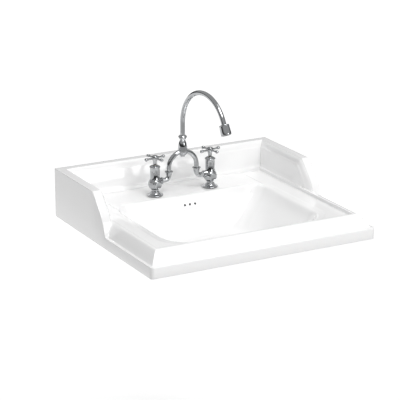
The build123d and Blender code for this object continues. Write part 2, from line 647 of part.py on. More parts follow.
with BuildPart() as spout_collar:
    collar_curve = [(10.0, NECK_FOOT_Z), (11.2, 205.4), (11.8, 207.4), (11.4, 209.4), (9.4, COLLAR_TOP_Z)]
    turn_curve(0, TAP_Y, collar_curve, [(SPOUT_R + FIT, COLLAR_TOP_Z), (SPOUT_R + FIT, NECK_TOP_Z + FIT),
                                        (NECK_R + FIT, NECK_TOP_Z + FIT), (NECK_R + FIT, NECK_FOOT_Z)])
keep(spout_collar, "spout_collar")

with BuildPart() as spout_rings:
    for height in SPOUT_RINGS_Z:
        o_ring(0, TAP_Y, (SPOUT_R + SPOUT_SOCKET_R) / 2, SPOUT_RING_SECTION_R, height)
keep(spout_rings, "spout_rings")

with BuildPart() as spout_tube:
    sweep_round(spout_path(), SPOUT_R)
    drill(0, TAP_Y, SPOUT_RIB_R, SPOUT_RIB_Z, NECK_TOP_Z - FIT, Mode.ADD)
    sweep_round(spout_path(), SPOUT_BORE_R, Mode.SUBTRACT)
keep(spout_tube, "spout_tube")

with BuildPart() as aerator_housing:
    turn_about(outlet_plane(), [(AERATOR_BORE_R, 0), (13.4, 0), (13.9, 1.0), (14.2, 4.0), (14.1, 9.0),
                                (13.7, 17.0), (13.3, 24.0), (13.2, 25.4), (13.8, 26.2), (13.8, 27.4),
                                (13.2, HOUSING_H), (SPOUT_R + FIT, HOUSING_H),
                                (SPOUT_R + FIT, HOUSING_H - HOUSING_GRIP),
                                (SPOUT_BORE_R, HOUSING_H - HOUSING_GRIP), (AERATOR_BORE_R, AERATOR_BORE_H)])
keep(aerator_housing, "aerator_housing")

with BuildPart() as aerator_insert:
    outlet = outlet_plane()
    insert_r = AERATOR_BORE_R - FIT
    insert_top = INSERT_INSET + INSERT_T
    turn_about(outlet, [(0, INSERT_INSET), (insert_r, INSERT_INSET), (insert_r, insert_top),
                        (0, insert_top)])
    face_origin = outlet.origin + outlet.y_dir * INSERT_INSET
    with BuildSketch(Plane(origin=face_origin, x_dir=outlet.x_dir, z_dir=outlet.y_dir)) as jets:
        for ring_r, count in INSERT_RINGS:
            with PolarLocations(ring_r, count):
                Circle(INSERT_HOLE_R)
    extrude(jets.sketch, amount=INSERT_T, mode=Mode.SUBTRACT)
keep(aerator_insert, "aerator_insert")

with BuildPart() as aerator_washer:
    turn_about(outlet_plane(), [(SPOUT_R, insert_top), (insert_r, insert_top), (insert_r, AERATOR_BORE_H),
                                (SPOUT_R, AERATOR_BORE_H)])
keep(aerator_washer, "aerator_washer")

# ================================================================ waste
with BuildPart() as waste_body:
    flange_z = WASTE_SEAT_Z + WASTE_SEAL_T
    relief_foot_z, relief_top_z = WASTE_RELIEF_Z
    turn(0, WASTE_Y, [(WASTE_BORE_R, WASTE_END_Z), (WASTE_R, WASTE_END_Z), (WASTE_R, relief_foot_z),
                      (WASTE_R - RELIEF, relief_foot_z), (WASTE_R - RELIEF, relief_top_z),
                      (WASTE_R, relief_top_z), (WASTE_R, flange_z),
                      (WASTE_FLANGE_R, flange_z), (WASTE_FLANGE_R, -51.6), (31.0, -50.6), (27.5, -51.2),
                      (WASTE_BORE_R, -58.0)])
    box(-SLOT_W / 2, SLOT_W / 2, WASTE_Y - WASTE_HOLE_R, WASTE_Y + WASTE_HOLE_R, *SLOT_Z, Mode.SUBTRACT)
    box(-WASTE_HOLE_R, WASTE_HOLE_R, WASTE_Y - SLOT_W / 2, WASTE_Y + SLOT_W / 2, *SLOT_Z, Mode.SUBTRACT)
    span = WASTE_BORE_R + 1.0
    box(-span, span, WASTE_Y - SPIDER_W / 2, WASTE_Y + SPIDER_W / 2, *SPIDER_Z)
    box(-SPIDER_W / 2, SPIDER_W / 2, WASTE_Y - span, WASTE_Y + span, *SPIDER_Z)
    drill(0, WASTE_Y, SPIDER_HUB_R, *SPIDER_Z, Mode.ADD)
    drill(0, WASTE_Y, CLICK_STUD_R + FIT, *SPIDER_Z)
keep(waste_body, "waste_body")

with BuildPart() as waste_seal_upper:
    ring(0, WASTE_Y, WASTE_R + GAP, WASTE_FLANGE_R - 1.0, WASTE_SEAT_Z, WASTE_SEAT_Z + WASTE_SEAL_T)
keep(waste_seal_upper, "waste_seal_upper")

with BuildPart() as waste_seal_lower:
    ring(0, WASTE_Y, WASTE_R + GAP, WASTE_BOSS_R - 3.0, BOSS_END_Z - LOWER_SEAL_T, BOSS_END_Z)
keep(waste_seal_lower, "waste_seal_lower")

with BuildPart() as waste_backnut:
    waste_nut_top_z = BOSS_END_Z - LOWER_SEAL_T
    hexagon(0, WASTE_Y, WASTE_NUT_FLATS, WASTE_R + FIT, waste_nut_top_z - WASTE_NUT_T, waste_nut_top_z)
keep(waste_backnut, "waste_backnut")

with BuildPart() as click_cartridge:
    drill(0, WASTE_Y, CLICK_STUD_R, SPIDER_Z[0], SPIDER_Z[1], Mode.ADD)
    drill(0, WASTE_Y, CLICK_R, SPIDER_Z[1], CLICK_TOP_Z, Mode.ADD)
    drill(0, WASTE_Y, PLUNGER_R + FIT, PLUNGER_Z[0] - 1.0, CLICK_TOP_Z)
keep(click_cartridge, "click_cartridge")

with BuildPart() as plunger:
    drill(0, WASTE_Y, PLUNGER_R, *PLUNGER_Z, Mode.ADD)
keep(plunger, "plunger")

with BuildPart() as plug:
    crown = [(PLUG_R, -52.2), (22.0, -51.2), (12.0, -50.0), (0, -49.6)]
    turn_curve(0, WASTE_Y, crown, [(0, PLUG_Z), (PLUG_R, PLUG_Z)])
    drill(0, WASTE_Y, CLICK_R, -63.0, PLUG_Z, Mode.ADD)
    drill(0, WASTE_Y, PLUNGER_R + FIT, -63.0, PLUNGER_Z[1])
keep(plug, "plug")

with BuildPart() as plug_seal:
    ring(0, WASTE_Y, *PLUG_SEAL_R, PLUG_Z - PLUG_SEAL_T, PLUG_Z)
keep(plug_seal, "plug_seal")
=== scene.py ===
import json
import math
import bmesh
import bpy
import numpy as np
from mathutils import Matrix, Vector


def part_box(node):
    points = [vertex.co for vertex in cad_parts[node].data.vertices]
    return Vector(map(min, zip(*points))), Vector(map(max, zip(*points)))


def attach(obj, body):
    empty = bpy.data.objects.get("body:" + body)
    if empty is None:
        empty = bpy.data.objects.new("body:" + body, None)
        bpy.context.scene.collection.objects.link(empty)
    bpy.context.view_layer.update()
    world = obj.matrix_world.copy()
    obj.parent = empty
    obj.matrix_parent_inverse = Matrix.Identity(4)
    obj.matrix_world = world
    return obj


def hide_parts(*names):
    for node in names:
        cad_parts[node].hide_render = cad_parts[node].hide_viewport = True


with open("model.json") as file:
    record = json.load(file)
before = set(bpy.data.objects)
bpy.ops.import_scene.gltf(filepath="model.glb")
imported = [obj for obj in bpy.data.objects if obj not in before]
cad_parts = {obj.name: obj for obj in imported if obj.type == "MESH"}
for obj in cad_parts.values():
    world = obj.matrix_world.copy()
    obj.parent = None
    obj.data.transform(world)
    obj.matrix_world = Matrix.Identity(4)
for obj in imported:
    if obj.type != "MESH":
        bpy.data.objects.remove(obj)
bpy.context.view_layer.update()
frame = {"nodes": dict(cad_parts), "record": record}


# Tables and dimensions below are in millimetres unless they say otherwise; meshes are in metres.
MM = 0.001
SIDES = (("left", -1), ("right", 1))
UP = Vector((0, 0, 1))


# ------------------------------------------------------------------ materials
COAT_ROUGHNESS = 0.03
IOR = 1.5
ROUGHNESS_DETAIL = 3.0
# Noise scale, detail, bump strength and bump height in metres: the glaze's faint waviness.
GLAZE_WAVES = (14.0, 1.0, 0.12, 0.002)


def material(name, colour, roughness, metallic=0.0, coat=0.0):
    mat = bpy.data.materials.new(name)
    mat.use_nodes = True
    shader = mat.node_tree.nodes["Principled BSDF"]
    shader.inputs["Base Color"].default_value = (*colour, 1.0)
    shader.inputs["Roughness"].default_value = roughness
    shader.inputs["Metallic"].default_value = metallic
    shader.inputs["Coat Weight"].default_value = coat
    shader.inputs["Coat Roughness"].default_value = COAT_ROUGHNESS
    shader.inputs["IOR"].default_value = IOR
    return mat


def noise(mat, scale, detail):
    nodes = mat.node_tree.nodes
    coords = nodes.new("ShaderNodeTexCoord")
    texture = nodes.new("ShaderNodeTexNoise")
    texture.inputs["Scale"].default_value = scale
    texture.inputs["Detail"].default_value = detail
    mat.node_tree.links.new(coords.outputs["Object"], texture.inputs["Vector"])
    return texture.outputs["Fac"]


def varied(name, colour, roughness, spread, metallic=0.0):
    """A material whose roughness drifts over the surface; spread is its noise scale, low and high."""
    mat = material(name, colour, roughness, metallic)
    nodes, links = mat.node_tree.nodes, mat.node_tree.links
    scale, low, high = spread
    reach = nodes.new("ShaderNodeMapRange")
    reach.inputs["To Min"].default_value = low
    reach.inputs["To Max"].default_value = high
    links.new(noise(mat, scale, ROUGHNESS_DETAIL), reach.inputs["Value"])
    links.new(reach.outputs["Result"], nodes["Principled BSDF"].inputs["Roughness"])
    return mat


def waver(mat, scale, detail, strength, height):
    """Faint waves in a surface."""
    nodes, links = mat.node_tree.nodes, mat.node_tree.links
    bump = nodes.new("ShaderNodeBump")
    bump.inputs["Strength"].default_value = strength
    bump.inputs["Distance"].default_value = height
    links.new(noise(mat, scale, detail), bump.inputs["Height"])
    links.new(bump.outputs["Normal"], nodes["Principled BSDF"].inputs["Normal"])


GLAZE = material("white_glaze", (0.93, 0.93, 0.93), 0.12, coat=0.5)
waver(GLAZE, *GLAZE_WAVES)
CHROME = varied("chrome", (0.46, 0.47, 0.48), 0.06, (60.0, 0.04, 0.08), 1.0)
BRASS = varied("brass", (0.60, 0.42, 0.18), 0.3, (90.0, 0.24, 0.36), 1.0)
DISC = varied("disc_ceramic", (0.82, 0.82, 0.80), 0.25, (90.0, 0.2, 0.3))
RUBBER = varied("rubber", (0.02, 0.02, 0.02), 0.6, (120.0, 0.5, 0.7))
STEEL = varied("steel", (0.48, 0.48, 0.49), 0.3, (120.0, 0.25, 0.35), 1.0)
PLASTIC = varied("plastic", (0.08, 0.08, 0.085), 0.45, (120.0, 0.4, 0.5))
# Near-black painted shade for the walls of the overflow holes, standing in for the shadow inside the glazed
# holes.
PAINTED_SHADE = varied("overflow_painted_shade", (0.02, 0.02, 0.02), 0.6, (120.0, 0.5, 0.7))
BY_SLOT = {"glaze": GLAZE, "chrome": CHROME, "brass": BRASS, "disc_ceramic": DISC,
           "cap": CHROME, "rubber": RUBBER, "steel": STEEL, "plastic": PLASTIC}


# ------------------------------------------------------------------ mesh helpers
CHROME_CREASE, BASIN_CREASE = 35, 50
TINY = 1e-6


def new_object(name, verts, faces, mat, smooth=True):
    mesh = bpy.data.meshes.new(name)
    mesh.from_pydata([tuple(v) for v in verts], [], faces)
    mesh.validate()
    mesh.update()
    obj = bpy.data.objects.new(name, mesh)
    bpy.context.scene.collection.objects.link(obj)
    mesh.materials.append(mat)
    mesh.polygons.foreach_set("use_smooth", [smooth] * len(mesh.polygons))
    return obj


def catmull(points, steps):
    """Points of a smooth curve through the given ones."""
    p = np.array(points, float)
    p = np.vstack([2 * p[0] - p[1], p, 2 * p[-1] - p[-2]])
    out = []
    for i in range(1, len(p) - 2):
        for s in range(steps):
            t = s / steps
            out.append(0.5 * (2 * p[i] + (p[i + 1] - p[i - 1]) * t
                              + (2 * p[i - 1] - 5 * p[i] + 4 * p[i + 1] - p[i + 2]) * t ** 2
                              + (3 * p[i] - p[i - 1] - 3 * p[i + 1] + p[i + 2]) * t ** 3))
    out.append(p[-2])
    return np.array(out)


def outline(start, curve=(), end=(), steps=5):
    """Points of an outline whose middle part is a smooth curve."""
    bend = [tuple(p) for p in catmull(curve, steps)] if curve else []
    return list(start) + bend + list(end)


def lathe_arrays(profile, matrix, segments):
    """Vertices and faces of a profile of (radius, height) in metres, turned about the matrix's Z."""
    verts, faces = [], []
    rings = []
    for r, h in profile:
        if r < TINY:
            rings.append([len(verts)])
            verts.append(matrix @ Vector((0, 0, h)))
            continue
        ring = []
        for k in range(segments):
            a = 2 * math.pi * k / segments
            ring.append(len(verts))
            verts.append(matrix @ Vector((r * math.cos(a), r * math.sin(a), h)))
        rings.append(ring)
    for lower, upper in zip(rings, rings[1:]):
        n = max(len(lower), len(upper))
        if n == 1:
            continue
        for k in range(n):
            m = (k + 1) % n
            if len(lower) == 1:
                faces.append((lower[0], upper[m], upper[k]))
            elif len(upper) == 1:
                faces.append((lower[k], lower[m], upper[0]))
            else:
                faces.append((lower[k], lower[m], upper[m], upper[k]))
    return verts, faces


def tube_arrays(path, radius, segments=40):
    """Vertices and faces of a capped round tube along points in metres; its radius is in millimetres."""
    path = [Vector(p) for p in path]
    verts, faces = [], []
    side = (path[1] - path[0]).normalized().orthogonal().normalized()
    for i, p in enumerate(path):
        ahead = (path[min(i + 1, len(path) - 1)] - path[max(i - 1, 0)]).normalized()
        side = (side - ahead * side.dot(ahead)).normalized()
        other = ahead.cross(side)
        for k in range(segments):
            a = 2 * math.pi * k / segments
            verts.append(p + (side * math.cos(a) + other * math.sin(a)) * (radius * MM))
    for i in range(len(path) - 1):
        for k in range(segments):
            m = (k + 1) % segments
            a, b = i * segments, (i + 1) * segments
            faces.append((a + k, a + m, b + m, b + k))
    faces.append(tuple(reversed(range(segments))))
    faces.append(tuple(range((len(path) - 1) * segments, len(path) * segments)))
    return verts, faces


def joined(*parts):
    verts, faces = [], []
    for v, f in parts:
        base = len(verts)
        verts += list(v)
        faces += [tuple(i + base for i in face) for face in f]
    return verts, faces


def metres(profile):
    return [(r * MM, h * MM) for r, h in profile]


def sharpen(obj, degrees):
    obj.data.set_sharp_from_angle(angle=math.radians(degrees))


def piece(name, arrays, body, node):
    """A chrome piece that rides on a body and stands in for a CAD node."""
    obj = new_object(name, *arrays, CHROME)
    sharpen(obj, CHROME_CREASE)
    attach(obj, body)
    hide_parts(node)


def centre(node):
    low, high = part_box(node)
    return Vector([(a + b) / 2 for a, b in zip(low, high)])


# ------------------------------------------------------------------ basin: dimensions
basin_low, basin_high = (np.array(v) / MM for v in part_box("basin"))
HALF_W = (basin_high[0] - basin_low[0]) / 2
DEPTH = basin_high[1] - basin_low[1]
TOP = basin_high[2]
DECK_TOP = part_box("base_seals")[0][2] / MM
SHELF = DECK_TOP - 2.0

# The rim's height against the distance in from a side; along the front it is stretched.
RIM = [(0, 31.0), (6.4, 31.4), (8.4, 32.6), (12.0, 37.0), (16.0, 42.6), (20.0, 48.2), (24.0, 53.6),
       (27.4, 58.0), (30.0, 60.8), (32.0, 61.9), (34.0, 62.2), (39.0, 62.2), (40.6, 61.5), (41.2, 59.6),
       (41.3, 56.0), (41.8, 53.6), (43.4, 53.0), (50.0, 53.0), (400.0, 53.0)]
FRONT_STRETCH, MITRE_BLEND = 1.2, 0.6
# How far the back's and the wings' moulding is below their top, against the distance in.
MOULD = [(0, 0), (22.0, 0.0), (22.8, 0.2), (23.2, 1.4), (24.2, 2.0), (26.0, 3.6), (28.0, 6.6), (29.8, 10.4),
         (31.2, 14.0), (32.4, 16.6), (33.4, 17.6), (34.2, 19.2), (34.5, 24.0), (34.7, 58.0), (35.2, 64.0),
         (36.2, 69.0), (37.8, 72.4), (39.6, 73.8), (40.8, 74.6), (41.2, 90.0), (500.0, 500.0)]
# The wings' height against y. Their moulding runs down the slant, moved forward as it drops.
SLANT = [(-400.0, -70.0), (-315.0, 24.0), (-289.0, 76.0), (-252.0, 119.6), (-238.0, 134.0),
         (-222.0, 146.0), (0.0, 240.0)]
SLANT_SHIFT, SLANT_DROP, SLANT_BLEND = 1.25, 30, 3.0
WING_REACH, BELOW_ALL = 60, -50
# The tap deck: half its width, the width of its end steps and its front.
DECK_EDGE, DECK_STEP, DECK_REACH, DECK_FRONT = 227.0, 2.5, 229.0, -162
EDGE_ROUND, FOOT_ROUND, PLAN_ROUND = 2.6, 2.0, 9.0
# Bowl sections: height, half width, front, back, front corner radius, back corner radius.
BOWL = [(96.0, 243.0, -513.0, -136.0, 92.0, 40.0),
        (62.0, 227.0, -499.0, -148.0, 84.0, 34.0),
        (30.0, 209.0, -491.0, -157.0, 84.0, 36.0),
        (0.0, 180.0, -476.0, -172.0, 80.0, 38.0),
        (-25.0, 154.0, -452.0, -186.0, 74.0, 40.0),
        (-41.0, 134.0, -416.0, -198.0, 70.0, 50.0),
        (-48.6, 108.0, -370.0, -208.0, 68.0, 56.0),
        (-51.2, 74.0, -334.0, -217.0, 56.0, 48.0),
        (-51.8, 40.0, -302.0, -226.0, 38.0, 36.0)]
BOWL_STEPS, CURVE_STEPS, HALVINGS = 12, 6, 22
OFF_BOWL, NEAR_BOWL, AT_EDGE = 400.0, 200.0, 1e-3
# The lip between bowl and rim is rounder at the front than at the deck: y, then rounding.
LIP = ((-200.0, -165.0), (9.0, 4.0))
# The underside's height against the distance in, and the ledge under the deck's ends.
HOLLOW = ((0, 2.5, 13.0, 15.0, 32.0, 35.0, 400.0), (0, 0, 0, 30.0, 31.0, 39.0, 40.0))
LEDGE, LEDGE_HEIGHT, LEDGE_FRONT, LEDGE_INSET = ((208, 214), (1.0, 0.0)), 2.0, -150, 14.5
WALL, WALL_BLEND = 11.0, 4.0
# Mesh lines: where a spacing starts, and the spacing, from a side inwards and from the wall forwards.
ACROSS = [(0, 0.25), (0.5, 0.5), (3, 2.2), (7, 1.0), (38, 0.8), (40, 0.35), (44.5, 1.2), (50, 3.6),
          (92, 1.7), (112, 3.4), (HALF_W, 0)]
FORWARD = [(0, 0.25), (0.5, 0.5), (3, 2.6), (22, 1.0), (38, 0.8), (40, 0.35), (44.5, 1.2), (50, 3.6),
           (138, 1.3), (176, 3.2), (206, 3.8), (228, 2.6), (330, 3.4), (462, 1.8), (510, 1.2),
           (514, 0.6), (522, 1.0), (559, 0.6), (DEPTH - 0.5, 0.25), (DEPTH, 0)]
UNDERSIDE_STRIDE = 3
# Hidden bodies: x, y and z limits, or (y, z) and (radius, z) outlines.
WALL_FLANGE = (-200.0, 200.0, -14.0, 0.0, -46.0, 1.5)
CASE_HALF = 30.0
CASE = [(-142.0, 39.0), (-121.0, 39.0), (-125.0, 0.0), (-133.0, -28.0), (-149.0, -62.0), (-172.0, -84.0),
        (-250.0, -84.0), (-250.0, -58.0), (-205.0, -58.0), (-184.0, -38.0), (-172.0, -10.0), (-162.0, 10.0)]
WASTE_BOSS_R, WASTE_BOSS_CHAMFER, WASTE_BOSS_TOP = 38.0, 1.0, -57.0
LAND_FRONT, LAND_BACK, LAND_HALF, LAND_WALL, LAND_FOOT = -325.0, -205.0, 96.0, 15.0, -72.0
LAND_TOP, LAND_SIDE_TOP = -58.0, -50.0
# Holes: radius, start and length of each cut.
OVERFLOW_X, OVERFLOW_START, OVERFLOW_Z = (-15.5, 0.0, 15.5), -172.0, 29.0
OVERFLOW_R, OVERFLOW_LENGTH = 3.0, 21.5
BOLT_X, BOLT_START, BOLT_R, BOLT_LENGTH = (-140.0, 140.0), -20.0, 7.0, 25.0
WASTE_START, WASTE_R, WASTE_LENGTH = -100.0, 23.0, 60.0
TAP_START, TAP_R, TAP_LENGTH = 5.0, 14.0, 70.0
HOLE_SEGMENTS, TURNED_SEGMENTS = 48, 72


# ------------------------------------------------------------------ basin: shape
def smooth_min(a, b, k):
    return (a + b - np.sqrt((a - b) ** 2 + k * k)) / 2


def outer_round(d, radius):
    """How far a surface drops at distance d from a rounded outer edge."""
    d = np.clip(d, 0, radius)
    return radius - np.sqrt(np.maximum(radius ** 2 - (radius - d) ** 2, 0))


def bowl_height(x, y, grow=0.0):
    """Height of the bowl under x, y, or of its shell grown outwards and down by grow."""
    table = catmull(BOWL, BOWL_STEPS)
    count = len(table) - 1
    near, far = np.zeros(x.shape), np.full(x.shape, float(count))
    for _ in range(HALVINGS):
        t = (near + far) / 2
        cols = [np.interp(t, np.arange(count + 1), column) for column in table.T]
        _, half_w, front, back, front_corner, back_corner = cols
        half_w, front, back = half_w + grow, front - grow, back + grow
        corner = np.where(y > (front + back) / 2, back_corner, front_corner) + grow
        qx = np.abs(x) - half_w + corner
        qy = np.abs(y - (front + back) / 2) - (back - front) / 2 + corner
        outside = (np.hypot(np.maximum(qx, 0), np.maximum(qy, 0)) + np.minimum(np.maximum(qx, qy), 0)
                   - corner) > 0
        far = np.where(outside, t, far)
        near = np.where(outside, near, t)
    z = np.interp((near + far) / 2, np.arange(count + 1), table[:, 0])
    return np.where(near < AT_EDGE, OFF_BOWL, z) - grow


def read_curve(points, d):
    """The height at d of a smooth curve through (distance, height) points."""
    dense = catmull(points, CURVE_STEPS)
    dense[:, 0] = np.maximum.accumulate(dense[:, 0] + np.arange(len(dense)) * 1e-7)
    return np.interp(d, dense[:, 0], dense[:, 1])


def top_height(x, y):
    side, front = HALF_W - np.abs(x), DEPTH + y
    base = read_curve(RIM, smooth_min(side, front / FRONT_STRETCH, MITRE_BLEND))
    deck = SHELF + (DECK_TOP - SHELF) * np.clip((DECK_EDGE - np.abs(x)) / DECK_STEP, 0, 1)
    base = np.where((np.abs(x) < DECK_REACH) & (y > DECK_FRONT), deck, base)
    panel = TOP - read_curve(MOULD, -y)
    crest = TOP - read_curve(MOULD, side)
    drop = np.clip(TOP - crest, 0, SLANT_DROP)
    wing = smooth_min(crest, read_curve(SLANT, y - drop * SLANT_SHIFT), SLANT_BLEND)
    wing = np.where(side < WING_REACH, wing, BELOW_ALL)
    height = np.maximum(np.maximum(panel, wing), base)
    height = height - outer_round(np.minimum(np.minimum(side, front), -y), EDGE_ROUND)
    bowl = bowl_height(x, y)
    return np.where(bowl < NEAR_BOWL, smooth_min(height, bowl, np.interp(y, *LIP)), height)


def under_height(x, y):
    inset = np.minimum(np.minimum(HALF_W - np.abs(x), DEPTH + y), -y)
    hollow = np.interp(inset, *HOLLOW) + outer_round(inset, FOOT_ROUND)
    ledge = np.where(y > LEDGE_FRONT, np.interp(np.abs(x), *LEDGE), 0.0) * (inset > LEDGE_INSET)
    hollow = hollow + LEDGE_HEIGHT * ledge
    shell = bowl_height(x, y, WALL)
    return np.where(shell < NEAR_BOWL, smooth_min(hollow, shell, WALL_BLEND), hollow)


def lines(stops):
    """Positions between stops, each (start, spacing up to the next stop)."""
    out = []
    for (a, step), (b, _) in zip(stops, stops[1:]):
        out += list(np.linspace(a, b, max(1, round((b - a) / step)), endpoint=False))
    return np.array(out + [stops[-1][0]])


def thinned(count):
    """Every few indices below count, and the last."""
    return sorted({*range(0, count, UNDERSIDE_STRIDE), count - 1})


def quads(index):
    """Faces between the points of an index grid, wound so that they look away from +Z."""
    return np.stack([index[:-1, :-1], index[:-1, 1:], index[1:, 1:], index[1:, :-1]], -1).reshape(-1, 4)


def border(index):
    """The outline of an index grid, once round."""
    sides = (index[0, :-1], index[:-1, -1], index[-1, :0:-1], index[:0:-1, 0])
    return [int(v) for v in np.concatenate(sides)]


def basin_arrays():
    insets = lines(ACROSS)
    xs = np.concatenate([-HALF_W + insets, (HALF_W - insets)[::-1][1:]])
    ys = -lines(FORWARD)
    gx, gy = np.meshgrid(xs, ys)
    # The two front corners are rounded in plan.
    u = (np.abs(gx) - (HALF_W - PLAN_ROUND)) / PLAN_ROUND
    v = (-gy - (DEPTH - PLAN_ROUND)) / PLAN_ROUND
    inside = (u > 0) & (v > 0)
    scale = np.where(inside, np.maximum(u, v) / np.maximum(np.hypot(u, v), 1e-9), 1.0)
    ax = np.where(inside, np.sign(gx) * (HALF_W - PLAN_ROUND + PLAN_ROUND * u * scale), gx)
    ay = np.where(inside, -(DEPTH - PLAN_ROUND + PLAN_ROUND * v * scale), gy)
    upper = np.stack([ax, ay, top_height(gx, gy)], -1)
    # The underside is coarser: it keeps every third line, plus the last.
    keep_y, keep_x = thinned(len(ys)), thinned(len(xs))
    lower = np.stack([ax, ay, under_height(gx, gy)], -1)[np.ix_(keep_y, keep_x)]
    index = np.arange(gx.size).reshape(gx.shape)
    below = np.arange(lower.shape[0] * lower.shape[1]).reshape(lower.shape[:2]) + gx.size
    faces = quads(index)[:, ::-1].tolist() + quads(below).tolist()
    step = {int(index[r, c]): int(below[i, j]) for i, r in enumerate(keep_y) for j, c in enumerate(keep_x)}
    loop = border(index)
    stops = [i for i, v in enumerate(loop) if v in step] + [len(loop)]
    loop.append(loop[0])
    for i, j in zip(stops, stops[1:]):
        faces.append(loop[i:j + 1] + [step[loop[j]], step[loop[i]]])
    verts = np.concatenate([upper.reshape(-1, 3), lower.reshape(-1, 3)]) * MM
    return verts.tolist(), faces


def block(x_from, x_to, y_from, y_to, z_from, z_to):
    """A closed box between limits."""
    verts = [(x * MM, y * MM, z * MM) for z in (z_from, z_to) for y in (y_from, y_to)
             for x in (x_from, x_to)]
    return verts, [(0, 2, 3, 1), (4, 5, 7, 6), (0, 1, 5, 4), (2, 6, 7, 3), (0, 4, 6, 2), (1, 3, 7, 5)]


def extruded(points, half_width):
    """A closed prism of (y, z) points, reaching half_width to either side of the middle."""
    count = len(points)
    verts = [(side * half_width * MM, y * MM, z * MM) for side in (-1, 1) for y, z in points]
    faces = [tuple(range(count)), tuple(reversed(range(count, 2 * count)))]
    faces += [(k, k + count, (k + 1) % count + count, (k + 1) % count) for k in range(count)]
    return verts, faces


def hidden_bodies():
    """Closed shells of the wall flange, overflow case, waste boss and pedestal land."""
    seal_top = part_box("waste_seal_lower")[1][2] / MM
    boss = [(0.0, seal_top), (WASTE_BOSS_R - WASTE_BOSS_CHAMFER, seal_top),
            (WASTE_BOSS_R, seal_top + WASTE_BOSS_CHAMFER), (WASTE_BOSS_R, WASTE_BOSS_TOP),
            (0.0, WASTE_BOSS_TOP)]
    waste = centre("waste_body")
    waste_axis = Matrix.Translation((waste.x, waste.y, 0.0))
    low, high = (LAND_FOOT, LAND_TOP), (LAND_FOOT, LAND_SIDE_TOP)
    return [block(*WALL_FLANGE), extruded(CASE, CASE_HALF),
            lathe_arrays(metres(boss), waste_axis, TURNED_SEGMENTS),
            block(-LAND_HALF, LAND_HALF, LAND_FRONT, LAND_FRONT + LAND_WALL, *low),
            block(-LAND_HALF, LAND_HALF, LAND_BACK - LAND_WALL, LAND_BACK, *low),
            block(-LAND_HALF, -LAND_HALF + LAND_WALL, LAND_FRONT, LAND_BACK, *high),
            block(LAND_HALF - LAND_WALL, LAND_HALF, LAND_FRONT, LAND_BACK, *high)]


def cut(obj, cutter):
    """Take a closed cutter out of a closed object; the cut walls keep the cutter's material."""
    modifier = obj.modifiers.new("cut", "BOOLEAN")
    modifier.operation = "DIFFERENCE"
    modifier.solver = "EXACT"
    modifier.object = cutter
    bpy.context.view_layer.update()
    evaluated = obj.evaluated_get(bpy.context.evaluated_depsgraph_get())
    mesh = bpy.data.meshes.new_from_object(evaluated)
    obj.modifiers.clear()
    old = obj.data
    obj.data = mesh
    bpy.data.meshes.remove(old)


# Cutters given material_index 1 leave cut walls in the near-black painted shade.
def hole_cutter(name, starts, radius, length, upright_bars=False, material_index=0):
    """Round bars from (x, y, z) starts, along +Z if upright and along +Y if not."""
    profile = metres([(0.0, 0.0), (radius, 0.0), (radius, length), (0.0, length)])
    tilt = Matrix.Rotation(0.0 if upright_bars else math.radians(-90), 4, "X")
    bars = [lathe_arrays(profile, Matrix.Translation(Vector(start) * MM) @ tilt, HOLE_SEGMENTS)
            for start in starts]
    bar = new_object(name, *joined(*bars), GLAZE, False)
    bar.data.materials.append(PAINTED_SHADE)
    bar.data.polygons.foreach_set("material_index", [material_index] * len(bar.data.polygons))
    return bar


drain, tap_hole = centre("waste_body") / MM, centre("base_flange_right") / MM
basin = new_object("basin_glazed", *basin_arrays(), GLAZE)
shells = [basin] + [new_object("basin_shell", *arrays, GLAZE) for arrays in hidden_bodies()]
cutters = (
    # The overflow holes take material 1, so their walls get the painted shade.
    hole_cutter("overflow_cutter", [(x, OVERFLOW_START, OVERFLOW_Z) for x in OVERFLOW_X],
                OVERFLOW_R, OVERFLOW_LENGTH, False, 1),
    hole_cutter("bolt_cutter", [(x, BOLT_START, 0.0) for x in BOLT_X], BOLT_R, BOLT_LENGTH),
    hole_cutter("waste_cutter", [(drain.x, drain.y, WASTE_START)], WASTE_R, WASTE_LENGTH, True),
    hole_cutter("tap_cutter", [(sign * tap_hole.x, tap_hole.y, TAP_START) for _, sign in SIDES],
                TAP_R, TAP_LENGTH, True))
# Each shell takes the painted-shade material as its second slot, for the overflow holes' walls.
for target in shells:
    target.data.materials.append(PAINTED_SHADE)
    for cutter in cutters:
        cut(target, cutter)
whole = bmesh.new()
for source in shells:
    whole.from_mesh(source.data)
whole.to_mesh(basin.data)
whole.free()
for spare in (*shells[1:], *cutters):
    bpy.data.objects.remove(spare)
basin.data.polygons.foreach_set("use_smooth", [True] * len(basin.data.polygons))
sharpen(basin, BASIN_CREASE)
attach(basin, "body")
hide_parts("basin")

# ------------------------------------------------------------------ tap: turned outlines of (radius, z)
ARM_SEGMENTS, BALL_SEGMENTS, BALL_RINGS, SPOUT_SEGMENTS = 40, 32, 16, 56
FOOT = outline([(10.52, 56.5), (20.9, 56.5)],
               [(21.6, 56.7), (22.0, 57.4), (21.7, 58.6), (20.4, 59.4), (18.4, 59.9), (15.6, 61.0),
                (13.4, 63.0), (12.3, 65.2), (12.0, 66.0)],
               [(10.52, 66.0)])
STEM = [(0.0, 20.0), (6.5, 20.0), (6.5, -28.0), (9.9, -28.0), (10.478, -27.4), (10.478, 30.0), (9.7, 30.0),
        (9.7, 31.0), (10.478, 31.0), (10.478, 66.0), (11.6, 66.0), (12.0, 66.3), (12.0, 67.0), (11.4, 67.8),
        (9.7, 68.6), (9.1, 70.2)]
STEM_END = [(12.8, 101.0), (0.0, 101.0)]
BULB_R, BULB_Z, BULB_FROM, BULB_TO = 18.5, 88.0, 72.0, 100.8
